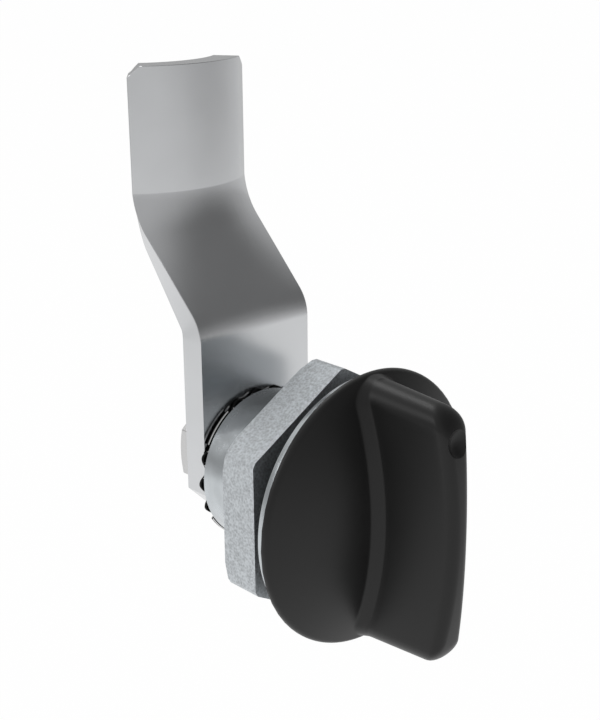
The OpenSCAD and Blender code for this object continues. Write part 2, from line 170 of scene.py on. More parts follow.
class Finish:
    """The node tree of a material or of the world, empty at first."""

    def __init__(self, owner):
        owner.use_nodes = True
        self.owner = owner
        self.tree = owner.node_tree
        self.tree.nodes.clear()

    def node(self, kind, settings=None, inputs=None):
        """Add a node of a type, with its settings and the values or links of its sockets."""
        node = self.tree.nodes.new("ShaderNode" + kind)
        for key, value in (settings or {}).items():
            if key == "stops":
                self.set_stops(node.color_ramp, value)
            else:
                setattr(node, key, value)
        for key, value in (inputs or {}).items():
            if isinstance(value, Value):
                self.tree.links.new(value.socket, node.inputs[key])
            else:
                node.inputs[key].default_value = value
        return Made(self, node)

    def set_stops(self, ramp, stops):
        while len(ramp.elements) < len(stops):
            ramp.elements.new(1)
        for element, (place, level) in zip(ramp.elements, stops):
            element.position = place
            element.color = grey(level)

    def ramp(self, factor, *stops):
        """A grey ramp over a value, as a number between its stops."""
        return self.node("ValToRGB", {"stops": stops}, {"Fac": factor}).out("Color")

    def mixed(self, factor, first, second):
        """A colour between two colours."""
        inputs = {MIX_FACTOR: factor, MIX_FIRST: first, MIX_SECOND: second}
        return self.node("Mix", {"data_type": "RGBA"}, inputs).out(MIX_RESULT)

    def place(self):
        return self.node("TexCoord").out("Object")

    def grain(self, size_mm, detail, roughness=0.5, stretch=(1, 1, 1)):
        """Soft noise between 0 and 1 whose blotches are about size_mm wide, stretched along the axes."""
        spread = self.node("Mapping", None, {"Vector": self.place(), "Scale": stretch}).out("Vector")
        inputs = {"Vector": spread, "Scale": 1 / (size_mm * MM), "Detail": detail, "Roughness": roughness}
        return self.node("TexNoise", None, inputs).out("Fac")

    def bump(self, height, depth_mm, strength):
        inputs = {"Height": height, "Distance": depth_mm * MM, "Strength": strength}
        return self.node("Bump", None, inputs).out("Normal")

    def surface(self, inputs):
        """The closing Principled shader."""
        shader = self.node("BsdfPrincipled", None, inputs).out("BSDF")
        self.node("OutputMaterial", None, {"Surface": shader})
        return self.owner


def new_finish(name):
    return Finish(bpy.data.materials.new(name))


def grey(level, tint=(1, 1, 1)):
    """A colour from a level of grey and a slight tint."""
    return tuple(level * t for t in tint) + (1,)


print("recipes of a finish:", [name for name in vars(Finish) if not name.startswith("_")])

# %% [markdown]
# ## Room
# Metal is only as good as what it mirrors. Each patch of bright metal in the picture was traced to the
# direction that it mirrors, which gave the room's brightness there: pale on the left and on the right, dim
# in front on the right and above, where the cam's slope looks, somewhat dimmer at the back, and light like a
# window above the back. An image of a studio could do the same, but a few ramps are easier to adjust. The
# world and the floor share this room, so it is one function of a direction. Only the camera sees plain white
# instead.

# %% Brightness of the room
DARK_SIDE = Vector((0.57, -0.55, 0.58)).normalized()
LIGHT_SIDE = Vector((0.10, 0.65, 0.75)).normalized()
DARK_SIDE_LEVELS = (0.35, 0.58), (0.60, 0.52), (0.72, 0.45), (0.80, 0.39), (0.88, 0.28), (0.96, 0.185)
BACK_LEVELS = (0.3, 1.0), (0.75, 0.75)
WINDOW_LEVELS = (0.80, 0.0), (0.95, 0.35)


def towards(finish, direction, side):
    """How far a direction points to a side: 1 straight at it, 0 square to it."""
    return finish.node("VectorMath", {"operation": "DOT_PRODUCT"}, {0: direction, 1: side}).out("Value")


def room_level(finish, direction):
    """How bright the room is in a direction, between 0 and 1."""
    level = finish.ramp(towards(finish, direction, DARK_SIDE), *DARK_SIDE_LEVELS)
    back = finish.node("SeparateXYZ", None, {"Vector": direction}).out("Y")
    window = finish.ramp(towards(finish, direction, LIGHT_SIDE), *WINDOW_LEVELS)
    return level * finish.ramp(back, *BACK_LEVELS) + window


room = Finish(bpy.context.scene.world or bpy.data.worlds.new("room"))
bpy.context.scene.world = room.owner
level = room_level(room, room.node("TexCoord").out("Generated"))
shown = room.mixed(room.node("LightPath").out("Is Camera Ray"), level, grey(1.0))
sky = room.node("Background", None, {"Color": shown, "Strength": 1.0}).out("Background")
room.node("OutputWorld", None, {"Surface": sky})
bpy.context.scene.view_settings.view_transform = "Standard"
print("dark side:", [round(c, 2) for c in DARK_SIDE])

# %% [markdown]
# ## Stage
# The object hangs free over a pale floor, as it does in the picture, where nothing of the floor's shadow
# reaches the frame. A white background could be had with more light, but that would wash out the metal.
# Instead the floor shows the camera its own white, and the metal sees it white close by and fading into the
# room further off. It takes the lamps only lightly.

# %% Floor
FLOOR_DROP = 95
FLOOR_HALF = 6000

floor_mesh = bmesh.new()
bmesh.ops.create_grid(floor_mesh, x_segments=4, y_segments=4, size=FLOOR_HALF * MM)
bmesh.ops.translate(floor_mesh, vec=(0, 0, -FLOOR_DROP * MM), verts=floor_mesh.verts)
floor = bpy.data.objects.new("floor", bpy.data.meshes.new("floor"))
floor_mesh.to_mesh(floor.data)
floor_mesh.free()
bpy.context.scene.collection.objects.link(floor)
print("floor at", -FLOOR_DROP, "mm")

# %% White of the floor
FAR_FLOOR = 1.25
NEAR_FLOOR_LEVELS = (0.30, 1.0), (0.40, 0.85), (0.62, 0.2), (0.90, 0.0)
FLOOR_PAINT = 0.9
OWN_WHITE_SHARE = 0.985

white_floor = new_finish("white_floor")
path = white_floor.node("LightPath")
mirrored = path.out("Is Glossy Ray").either(path.out("Is Transmission Ray"))
seen = path.out("Is Camera Ray").either(mirrored)
place = white_floor.place()
distance = white_floor.node("VectorMath", {"operation": "LENGTH"}, {0: place}).out("Value")
outward = white_floor.node("VectorMath", {"operation": "NORMALIZE"}, {0: place}).out("Vector")
near = white_floor.ramp(distance, *NEAR_FLOOR_LEVELS)
mirrored_glow = white_floor.mixed(near, FAR_FLOOR * room_level(white_floor, outward), grey(1.0))
glow_colour = white_floor.mixed(path.out("Is Camera Ray"), mirrored_glow, grey(1.0))
lit = white_floor.node("BsdfDiffuse", None, {"Color": grey(FLOOR_PAINT)}).out("BSDF")
glow = white_floor.node("Emission", None, {"Color": glow_colour, "Strength": 1.0}).out("Emission")
both = white_floor.node("MixShader", None, {0: seen * OWN_WHITE_SHARE, 1: lit, 2: glow}).out("Shader")
white_floor.node("OutputMaterial", None, {"Surface": both})
floor.data.materials.append(white_floor.owner)
print("finish:", white_floor.owner.name)

# %% [markdown]
# ## Light
# Two soft lamps add what the room lacks: one above and behind, whose reflection draws the bright line along
# the wing's upper end, and a weaker one on the left that lifts the same end a second time. Small lamps would
# leave hard dots on the satin plastic, so both are wide rectangles.

# %% Lamps
def softbox(name, place, aim, width, height, watts):
    """A rectangular lamp in millimetres that faces a point."""
    lamp = bpy.data.objects.new(name, bpy.data.lights.new(name, "AREA"))
    lamp.data.shape = "RECTANGLE"
    lamp.data.size = width * MM
    lamp.data.size_y = height * MM
    lamp.data.energy = watts
    bpy.context.scene.collection.objects.link(lamp)
    place, aim = Vector(place) * MM, Vector(aim) * MM
    turn = (aim - place).to_track_quat("-Z", "Y").to_matrix().to_4x4()
    lamp.matrix_world = Matrix.Translation(place) @ turn


OBJECT_MIDDLE = (0, 8, 15)
softbox("back_box", (120, 432, 683), OBJECT_MIDDLE, width=300, height=220, watts=0.8)
softbox("left_box", (-570, 327, 403), OBJECT_MIDDLE, width=300, height=300, watts=0.62)

# %% [markdown]
# ## Finish of the knob
# The knob is moulded in black plastic with a fine satin texture from its mould. A flat black would look
# like paper, so the tone and the gloss drift a little over the surface and a very fine grain breaks up
# the highlights.

# %% Black moulded plastic
KNOB_DARK, KNOB_LIGHT = 0.011, 0.015
SATIN, SATIN_DRIFT, PLASTIC_SHINE = 0.34, 0.08, 0.31

black = new_finish("black_moulded_plastic")
cloud = black.grain(size_mm=6.0, detail=3)
fine = black.grain(size_mm=0.12, detail=2)
knob_black = black.surface({
    "Base Color": black.mixed(cloud, grey(KNOB_DARK), grey(KNOB_LIGHT)),
    "Roughness": SATIN + SATIN_DRIFT * cloud,
    "Specular IOR Level": PLASTIC_SHINE,
    "Normal": black.bump(fine, depth_mm=0.006, strength=0.35),
})
print("finish:", knob_black.name)

# %% [markdown]
# ## Finish of the nut
# The nut is galvanised: zinc crystals of a few tenths of a millimetre lie side by side, some bright, some
# dull. Noise alone would look like cloud, so it gives the soft drift and cells give the crystals' edges.

# %% Galvanised steel
NUT_TINT, NUT_DARK, NUT_LIGHT = (0.945, 0.99, 1.025), 0.37, 0.72
CRYSTAL_SIZE = 0.30
SPECK_SHARE, DRIFT_SHARE, CELL_SHARE = 0.55, 0.3, 0.35
CRYSTAL_LEVELS = (0.30, 0.0), (0.75, 1.0)
NUT_DULL, NUT_DULL_DRIFT = 0.46, 0.18

galvanised = new_finish("galvanised_steel")
drift = galvanised.grain(size_mm=0.9, detail=3)
speck = galvanised.grain(size_mm=0.28, detail=2, roughness=0.6)
cell_inputs = {"Vector": galvanised.place(), "Scale": 1 / (CRYSTAL_SIZE * MM), "Randomness": 1.0}
cells = galvanised.node("TexVoronoi", {"feature": "F1"}, cell_inputs).out("Distance")
pattern = SPECK_SHARE * speck + DRIFT_SHARE * drift + CELL_SHARE * cells
crystal = galvanised.ramp(pattern, *CRYSTAL_LEVELS)
nut_grey = galvanised.surface({
    "Base Color": galvanised.mixed(crystal, grey(NUT_DARK, NUT_TINT), grey(NUT_LIGHT, NUT_TINT)),
    "Metallic": 1.0,
    "Roughness": NUT_DULL + NUT_DULL_DRIFT * speck,
    "Normal": galvanised.bump(speck, depth_mm=0.010, strength=0.4),
})
print("finish:", nut_grey.name)

# %% [markdown]
# ## Finish of the cam
# The cam is pressed from steel strip and zinc plated. The plating is smooth and mirrors softly, with a
# faint drawing along the strip that came from the rolling mill. Anisotropic gloss could show the drawing too,
# but noise stretched along the strip also survives the export.

# %% Zinc-plated strip
CAM_TINT, CAM_DARK, CAM_LIGHT = (0.985, 1.0, 1.02), 0.60, 0.66
CAM_GLOSS, HAZE_DRIFT, DRAWN_DRIFT = 0.20, 0.04, 0.03
ALONG_THE_STRIP = (1, 1, 0.04)

plated = new_finish("zinc_plated_strip")
drawn = plated.grain(size_mm=0.25, detail=3, stretch=ALONG_THE_STRIP)
haze = plated.grain(size_mm=5.0, detail=2)
cam_grey = plated.surface({
    "Base Color": plated.mixed(haze, grey(CAM_DARK, CAM_TINT), grey(CAM_LIGHT, CAM_TINT)),
    "Metallic": 1.0,
    "Roughness": CAM_GLOSS + HAZE_DRIFT * haze + DRAWN_DRIFT * drawn,
    "Normal": plated.bump(drawn, depth_mm=0.004, strength=0.25),
})
print("finish:", cam_grey.name)

# %% [markdown]
# ## Finish of the housing
# The housing is die-cast zinc, tumbled and plated. Its skin is bright but never quite flat: slow waves of
# the casting bend the reflections into blotches. Painted blotches alone would stay put while the light moves,
# so most of this comes from a bump of long, low waves.

# %% Bright casting
CASTING_TINT, CASTING_DARK, CASTING_LIGHT = (0.945, 1.0, 1.035), 0.50, 0.63
SKIN_SHARE, BLOTCH_SHARE = 0.35, 0.65
BLOTCH_LEVELS = (0.32, 0.0), (0.68, 1.0)
CASTING_GLOSS, SKIN_DRIFT, BLOTCH_DRIFT = 0.17, 0.06, 0.08

casting = new_finish("bright_casting")
waves = casting.grain(size_mm=3.2, detail=2)
skin = casting.grain(size_mm=0.3, detail=3)
blotch = casting.ramp(casting.grain(size_mm=2.4, detail=1, roughness=0.4), *BLOTCH_LEVELS)
tone = SKIN_SHARE * skin + BLOTCH_SHARE * blotch
housing_bright = casting.surface({
    "Base Color": casting.mixed(tone, grey(CASTING_DARK, CASTING_TINT), grey(CASTING_LIGHT, CASTING_TINT)),
    "Metallic": 1.0,
    "Roughness": CASTING_GLOSS + SKIN_DRIFT * skin + BLOTCH_DRIFT * blotch,
    "Normal": casting.bump(waves, depth_mm=0.10, strength=0.6),
})
print("finish:", housing_bright.name)

# %% [markdown]
# ## Finishes of washers, screw and seals
# The wave washer is spring steel, blackened by its heat treatment; its black also stands for painted shade in
# the shadowed gaps on either side of it, and a painted highlight runs along its rim. The screw and its lock
# washer are zinc plated, the spindle and stop pin are turned steel, and gasket and seal ring are black
# rubber. Little of them shows, so the metals share one recipe and differ in tone, gloss and grain.

# %% Small parts
GLOSS_DRIFT = 0.1
RUBBER_DARK, RUBBER_LIGHT = 0.012, 0.022
RUBBER_DULL, BLOOM_DRIFT = 0.6, 0.15


def metal(name, dark, light, roughness, size_mm):
    """A plain metal whose tone and gloss drift with a grain of a given size."""
    finish = new_finish(name)
    tone = finish.grain(size_mm, detail=3)
    return finish.surface({
        "Base Color": finish.mixed(tone, grey(dark), grey(light)),
        "Metallic": 1.0,
        "Roughness": roughness + GLOSS_DRIFT * tone,
        "Normal": finish.bump(tone, depth_mm=0.004, strength=0.3),
    })


# Near black: partly the washer's blackened steel, partly painted shade for the shadowed gaps beside it.
black_steel_and_shade = metal("blackened_steel_and_painted_shade", dark=0.010, light=0.022, roughness=0.45, size_mm=0.5)
# Painted highlight: a bright metal laid on the corners of the washer's rim.
painted_rim_highlight = metal("painted_rim_highlight", dark=0.55, light=0.70, roughness=0.25, size_mm=0.3)
screw_bright = metal("bright_screw_plating", dark=0.56, light=0.64, roughness=0.26, size_mm=0.4)
turned_steel = metal("turned_steel", dark=0.45, light=0.55, roughness=0.25, size_mm=0.3)

rubber = new_finish("black_rubber")
bloom = rubber.grain(size_mm=0.5, detail=3)
seal_black = rubber.surface({
    "Base Color": rubber.mixed(bloom, grey(RUBBER_DARK), grey(RUBBER_LIGHT)),
    "Roughness": RUBBER_DULL + BLOOM_DRIFT * bloom,
    "Normal": rubber.bump(bloom, depth_mm=0.01, strength=0.4),
})
print("finishes:", [m.name for m in bpy.data.materials if m.use_nodes])

# %% [markdown]
# ## Tools for the pieces
# Nearly everything on a latch is turned, so most pieces are an outline spun about the axis. Flats are then
# cut with a plane and the cut is closed, as a milling cutter would leave it, and sharp edges are eased with
# a small bevel because a perfectly sharp edge never catches the light.

# %% Turning
TURNED_STEPS = 192
MERGE = 0.0005


def turned(bm, outline, steps=TURNED_STEPS):
    """Spin a closed outline of radius and y about the latch axis."""
    verts = [bm.verts.new((radius, y, 0)) for radius, y in outline]
    edges = [bm.edges.new(pair) for pair in zip(verts, verts[1:] + verts[:1])]
    bmesh.ops.spin(bm, geom=verts + edges, axis=(0, 1, 0), angle=math.tau, steps=steps, use_merge=True)
    tidy(bm)


def tidy(bm):
    """Merge doubles, drop slivers and point all faces outwards."""
    bmesh.ops.remove_doubles(bm, verts=bm.verts, dist=MERGE)
    bmesh.ops.dissolve_degenerate(bm, edges=bm.edges, dist=MERGE)
    bmesh.ops.recalc_face_normals(bm, faces=bm.faces)


print("steps of a full turn:", TURNED_STEPS)

# %% Flats
SIDES = 6


def cut_off(bm, place, normal, beyond=True):
    """Cut along a plane, take away what lies beyond it if asked, and give back the edges of the cut."""
    geom = bm.verts[:] + bm.edges[:] + bm.faces[:]
    cut = bmesh.ops.bisect_plane(
        bm, geom=geom, plane_co=place, plane_no=normal, clear_outer=beyond, dist=MERGE)["geom_cut"]
    return [e for e in cut if isinstance(e, bmesh.types.BMEdge)]


def cut_flat(bm, place, normal):
    """Cut off what lies beyond a plane and close the cut."""
    bmesh.ops.edgenet_fill(bm, edges=cut_off(bm, place, normal))


def cut_hexagon(bm, across_flats):
    """Six flats about the latch axis, with a corner at the top."""
    for side in range(SIDES):
        normal = Vector((math.cos(math.tau * side / SIDES), 0, math.sin(math.tau * side / SIDES)))
        cut_flat(bm, normal * across_flats / 2, normal)
    bmesh.ops.recalc_face_normals(bm, faces=bm.faces)


print("flats of a hexagon:", SIDES)

# %% Eased edges
MARGIN = 1.0


def ease_edges(bm, width, sharper_than=25, where=None, segments=2):
    """Bevel the edges whose faces meet at more than an angle in degrees."""
    limit = math.radians(sharper_than)
    sharp = [e for e in bm.edges if e.is_manifold and e.calc_face_angle() > limit]
    edges = [e for e in sharp if where is None or where(e)]
    bmesh.ops.bevel(
        bm, geom=edges, offset=width, offset_type="OFFSET", affect="EDGES", segments=segments,
        profile=0.5, material=-1, clamp_overlap=True)
    print("edges eased:", len(edges))


def middle(edge):
    return (edge.verts[0].co + edge.verts[1].co) / 2


def outside(edge, radius):
    """True for an edge that lies well outside a radius about the latch axis."""
    return middle(edge).xz.length > radius + MARGIN


print("margin that tells edges apart, mm:", MARGIN)

# %% [markdown]
# A metric thread is a zigzag with flat crests and flat roots. Its corners lie at sixteenths of the pitch, and
# it is cut a little over six tenths of the pitch deep. A helix would be nearer to the real thing, but rings
# of this section look the same from outside and close cleanly.

# %% Threads
THREAD_DEPTH = 0.6134
ROOT_END, CREST_START, CREST_END, ROOT_START, PITCH_PARTS = 2, 7, 9, 14, 16


def thread_root(major_radius, pitch):
    return major_radius - THREAD_DEPTH * pitch


def thread(major_radius, pitch, start, turns):
    """Zigzag of a metric thread as points of radius and y."""
    root = thread_root(major_radius, pitch)
    corners = {ROOT_END: root, CREST_START: major_radius, CREST_END: major_radius, ROOT_START: root}
    return [
        (radius, start + (turn + part / PITCH_PARTS) * pitch)
        for turn in range(turns) for part, radius in corners.items()]


print("depth of a thread in pitches:", THREAD_DEPTH)

# %% [markdown]
# Cuts that are no plane, such as the knob's dimple, are made with a Boolean modifier: the tool's shape is
# taken away from the blank, and only the result is kept.

# %% Carving
def temporary(bm):
    """An object for a Boolean cut, removed again afterwards."""
    mesh = bpy.data.meshes.new("temporary")
    bm.to_mesh(mesh)
    bm.free()
    held = bpy.data.objects.new("temporary", mesh)
    bpy.context.scene.collection.objects.link(held)
    return held


def carved(bm, tools):
    """The blank with the shape of each tool taken away."""
    blank = temporary(bm)
    cutters = [temporary(tool) for tool in tools]
    for cutter in cutters:
        cut = blank.modifiers.new("cut", "BOOLEAN")
        cut.operation = "DIFFERENCE"
        cut.solver = "EXACT"
        cut.object = cutter
    result = bmesh.new()
    result.from_object(blank, bpy.context.evaluated_depsgraph_get())
    for held in [blank, *cutters]:
        bpy.data.meshes.remove(held.data)
    return result


def block(low, high):
    """A box between two corners, as a cutting tool."""
    bm = bmesh.new()
    low, high = Vector(low), Vector(high)
    bmesh.ops.create_cube(bm, size=1)
    bmesh.ops.scale(bm, vec=high - low, verts=bm.verts)
    bmesh.ops.translate(bm, vec=(low + high) / 2, verts=bm.verts)
    return bm


print("carving tools ready")

# %% [markdown]
# Every piece is finished in the same way. Its mesh goes from millimetres to metres, gets its finish and
# smooth shading between its sharp edges, hides the solid that it replaces, and moves with its body.
# Weighted normals keep flat faces flat next to an eased edge. The knob is curved all over and does without
# them.

# %% Finishing
SHARP_ANGLE = 38


def finished(bm, name, node, *finishes, weighted=True):
    """Make the mesh an object in metres that stands for its solid and moves with its body."""
    bmesh.ops.scale(bm, vec=(MM, MM, MM), verts=bm.verts)
    mesh = bpy.data.meshes.new(name)
    bm.to_mesh(mesh)
    bm.free()
    for finish in finishes:
        mesh.materials.append(finish)
    mesh.shade_smooth()
    mesh.set_sharp_from_angle(angle=math.radians(SHARP_ANGLE))
    piece = bpy.data.objects.new(name, mesh)
    bpy.context.scene.collection.objects.link(piece)
    if weighted:
        piece.modifiers.new("weighted normals", "WEIGHTED_NORMAL").keep_sharp = True
    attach(piece, next(body for body, members in bodies.items() if node in members))
    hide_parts(node)
    print(name, "faces:", len(mesh.polygons))


print("edges stay sharp above, degrees:", SHARP_ANGLE)

# %% [markdown]
# ## Wing knob
# The knob is one moulding: a thin domed disc, and across it a straight wing with round ends. Along its front
# edge the wing is slimmer in the middle than at its ends, and a flat bevel leads from its flanks to the dome.
# It could be carved from blocks with Booleans, but then the bevel would not follow the dome. So it is lofted:
# one closed ring of points is extruded again and again, from the disc's back over its edge, up the dome, the
# bevel and the wing's flanks, and over its rounded front edge, where the ring closes on itself.

# %% Outline of the wing
EDGE_THICKNESS = 0.2
DOME_RADIUS = 43.0
RIM_ROUND = 0.7
END_GAP = 0.2
ROOT_HALF = 2.45
NOSE_HALF = 1.4
NOSE_END_HALF = 2.0
NOSE_LENGTH_HALF = 14.85
CROWN_RADIUS = 68.0
SIDE_POINTS, CORNER_POINTS = 26, 20

knob_radius = knob_high.x
knob_back = knob_high.y
wing_height = knob_back - knob_low.y


def blended(first, second, share):
    return first + (second - first) * share


def quarter(i, count):
    """Angle of step i on a quarter turn."""
    return math.pi / 2 * i / count


def wing_quarter(height, narrower, shorter):
    """A quarter of the wing's outline from its waist to its tip, as points with normals."""
    share = height / wing_height
    corner = blended(ROOT_HALF, NOSE_END_HALF, share) - narrower
    waist = blended(ROOT_HALF, NOSE_HALF, share) - narrower
    straight = blended(knob_radius - END_GAP, NOSE_LENGTH_HALF, share) - shorter - corner
    points = []
    for i in range(SIDE_POINTS):
        part = i / SIDE_POINTS
        normal = Vector((straight, -2 * part * (corner - waist))).normalized()
        points.append((Vector((blended(waist, corner, part ** 2), straight * part)), normal))
    for i in range(CORNER_POINTS + 1):
        angle = quarter(i, CORNER_POINTS)
        normal = Vector((math.cos(angle), math.sin(angle)))
        points.append((Vector((0, straight)) + corner * normal, normal))
    return points


def wing_outline(height, narrower=0, shorter=0):
    """The whole outline, from the lower tip up the right flank and down the left one."""
    upper = wing_quarter(height, narrower, shorter)
    lower = [(Vector((p.x, -p.y)), Vector((n.x, -n.y))) for p, n in reversed(upper[1:])]
    right_half = lower + upper
    left_half = [(Vector((-p.x, p.y)), Vector((-n.x, n.y))) for p, n in reversed(right_half[1:-1])]
    return right_half + left_half


print("points round the wing:", len(wing_outline(0)))

# %% [markdown]
# Each ring takes the outline at its own height above the knob's back. On the bevel the outline is pushed out,
# over the front edge it is drawn in. At the wing's ends the bevel runs out into the disc's edge. The dome's
# rings run outwards along the same rays, so that the whole knob is one net of even faces.

# %% Rings of the knob
BEVEL, BEVEL_ROUND = 0.95, 0.6
BEVEL_END_SHARE = 0.08
NOSE_ROUND, END_ROUND = 1.2, 2.5
EDGE_ROUND = 0.06
SEAT_RADIUS, SEAT_DEPTH = 9.05, 1.4
BEVEL_STEPS, FLANK_RINGS, NOSE_RINGS, DOME_RINGS = 4, 14, 10, 32

rim_centre = knob_radius - RIM_ROUND
rim_angle = math.asin(rim_centre / (DOME_RADIUS - RIM_ROUND))
dome_radius = DOME_RADIUS * math.sin(rim_angle)
dome_low = (DOME_RADIUS - RIM_ROUND) * math.cos(rim_angle)
bevel_reach = BEVEL + BEVEL_ROUND * math.tan(math.pi / 8)


def dome_height(radius):
    """Height of the disc's front above the knob's back, on the dome and on its rounded rim."""
    if radius < dome_radius:
        return EDGE_THICKNESS + math.sqrt(DOME_RADIUS ** 2 - radius ** 2) - dome_low
    return EDGE_THICKNESS + math.sqrt(max(0, RIM_ROUND ** 2 - (radius - rim_centre) ** 2))


def crown(z):
    """Height of the wing's front edge above the knob's back at a place along it."""
    return wing_height - CROWN_RADIUS + math.sqrt(CROWN_RADIUS ** 2 - z ** 2)


def wing_points(narrower=0, shorter=0):
    """Pairs of low and high points of the outline, with their normal."""
    low, high = (wing_outline(height, narrower, shorter) for height in (0, wing_height))
    return [(low_point, high_point, normal) for (low_point, normal), (high_point, _) in zip(low, high)]


def placed(spot, height):
    return Vector((spot.x, knob_back - height, spot.y))


def bevel_ring(outward, rise):
    """A ring on the bevel: how far it lies outside the flank and how high above the dome."""
    ring = []
    for low, high, normal in wing_points():
        foot = low.lerp(high, (dome_height(low.length) + rise) / wing_height)
        spot = foot + normal * outward * blended(1, BEVEL_END_SHARE, abs(normal.y))
        ring.append(placed(spot, dome_height(spot.length) + rise))
    return ring


def nose_radius(normal):
    return blended(NOSE_ROUND, END_ROUND, normal.y ** 2)


def flank_ring(part):
    """A ring on the flanks, from the bevel at part 0 to the front edge's rounding at part 1."""
    ring = []
    for low, high, normal in wing_points():
        bottom = dome_height(low.length) + bevel_reach
        height = blended(bottom, crown(high.y) - nose_radius(normal), part)
        ring.append(placed(low.lerp(high, height / wing_height), height))
    return ring


def nose_ring(turn):
    """A ring on the rounding of the front edge, from the flanks at turn 0 to the crown at a quarter turn."""
    inset = 1 - math.cos(turn)
    ring = []
    for low, high, normal in wing_points(NOSE_ROUND * inset, END_ROUND * inset):
        height = crown(high.y) - nose_radius(normal) * (1 - math.sin(turn))
        ring.append(placed(low.lerp(high, height / wing_height), height))
    return ring


def dome_ring(foot_ring, part):
    """A ring on the disc's front, from its edge at part 0 to the bevel at part 1, closer at the rim."""
    ring = []
    for point in foot_ring:
        ray = Vector((point.x, point.z))
        spot = ray.normalized() * blended(knob_radius, ray.length, part ** 2)
        ring.append(placed(spot, dome_height(spot.length)))
    return ring


def round_ring(foot_ring, radius, height):
    return [placed(Vector((p.x, p.z)).normalized() * radius, height) for p in foot_ring]


turns = [quarter(i, 2 * BEVEL_STEPS) for i in range(BEVEL_STEPS + 1)]
bevel_arc = [(bevel_reach - BEVEL_ROUND * math.sin(t), BEVEL_ROUND * (1 - math.cos(t))) for t in turns]
bevel_profile = bevel_arc + [(rise, outward) for outward, rise in reversed(bevel_arc)]
foot = bevel_ring(*bevel_profile[0])
disc_edge = [
    (SEAT_RADIUS, SEAT_DEPTH), (SEAT_RADIUS, 0), (knob_radius - EDGE_ROUND, 0), (knob_radius, EDGE_ROUND)]
knob_rings = [round_ring(foot, radius, height) for radius, height in disc_edge]
knob_rings += [dome_ring(foot, i / DOME_RINGS) for i in range(DOME_RINGS)]
knob_rings += [bevel_ring(*step) for step in bevel_profile[:-1]]
knob_rings += [flank_ring(i / FLANK_RINGS) for i in range(FLANK_RINGS)]
knob_rings += [nose_ring(quarter(i, NOSE_RINGS)) for i in range(NOSE_RINGS + 1)]
knob_rings += [[Vector((0, p.y, p.z)) for p in knob_rings[-1]]]
print("rings of the knob:", len(knob_rings))

# %% [markdown]
# The loft itself is a loop over one operator. Extruding the open edge of a ring gives a new ring of points,
# each of which is set to its place. The seat behind the knob is closed with one face, and the last ring,
# flattened to a line, closes when its doubles are merged.

# %% Loft the knob
def loft(bm, rings):
    """Extrude a closed ring of points through all the rings."""
    count = len(rings[0])
    verts = bmesh.ops.create_circle(bm, segments=count, radius=1)["verts"]
    for vert, place in zip(verts, rings[0]):
        vert.co = place
    edges = list(dict.fromkeys(edge for vert in verts for edge in vert.link_edges))
    bmesh.ops.edgenet_fill(bm, edges=edges)
    order = {vert: i for i, vert in enumerate(verts)}
    for ring in rings[1:]:
        made = bmesh.ops.extrude_edge_only(bm, edges=edges)["geom"]
        fresh = [v for v in made if isinstance(v, bmesh.types.BMVert)]
        edges = [e for e in made if isinstance(e, bmesh.types.BMEdge)]
        edges = [e for e in edges if e.verts[0] not in order and e.verts[1] not in order]
        following = {}
        for vert in fresh:
            before = next(e.other_vert(vert) for e in vert.link_edges if e.other_vert(vert) in order)
            following[vert] = order[before]
            vert.co = ring[order[before]]
        order = following


knob = bmesh.new()
loft(knob, knob_rings)
tidy(knob)
print("faces of the loft:", len(knob.faces))

# %% [markdown]
# Two cuts finish the knob: a shallow dimple near the wing's upper end that shows the latch's position, and
# the slot at the back that takes the spindle's flat tang. The dimple is the cap of a ball, whose radius
# follows from the dimple's width and depth.

# %% Carve the knob
TANG_HALF, TANG_WIDTH_HALF, TANG_REACH = 0.85, 7.05, 8.1
DIMPLE_RADIUS, DIMPLE_DEPTH, DIMPLE_PLACE = 1.55, 0.75, 11.65
BALL_SEGMENTS, BALL_RINGS = 64, 40

dimple = bmesh.new()
ball = (DIMPLE_RADIUS ** 2 + DIMPLE_DEPTH ** 2) / (2 * DIMPLE_DEPTH)
bmesh.ops.create_uvsphere(dimple, u_segments=BALL_SEGMENTS, v_segments=BALL_RINGS, radius=ball)
ball_centre = knob_back - crown(DIMPLE_PLACE) + DIMPLE_DEPTH - ball
bmesh.ops.translate(dimple, vec=(0, ball_centre, DIMPLE_PLACE), verts=dimple.verts)
seat_floor = knob_back - SEAT_DEPTH
tang_slot = block(
    (-TANG_HALF, seat_floor - TANG_REACH, -TANG_WIDTH_HALF),
    (TANG_HALF, seat_floor + MARGIN, TANG_WIDTH_HALF))
knob = carved(knob, [dimple, tang_slot])
finished(knob, "wing_knob_moulding", "wing_knob", knob_black, weighted=False)

# %% [markdown]
# ## Housing
# One die casting makes the flange, the threaded neck and the smooth barrel. It is a turned shape, so its
# outline is spun. The thread is cut as rings, which can't be told from a helix in the narrow gap where it
# shows, and two flats on the neck keep the latch from turning in the panel.

# %% Spin the housing
THREAD_RADIUS, THREAD_PITCH, THREAD_TURNS = 10.0, 1.0, 8
FLATS_HALF, FLATS_TOOL = 9.4, 20.0
BARREL_RADIUS = 9.3
BORE_RADIUS = 5.04
FLANGE_CHAMFER = 0.3
GROOVE_START, GROOVE_END, GROOVE_DEPTH = 8.5, 8.9, 0.15
HOUSING_EASE = 0.12

flange_radius = housing_high.x
flange_front = housing_low.y
flange_back = gasket_low.y
barrel_end = housing_high.y
neck_root = thread_root(THREAD_RADIUS, THREAD_PITCH)
thread_end = flange_back + THREAD_TURNS * THREAD_PITCH

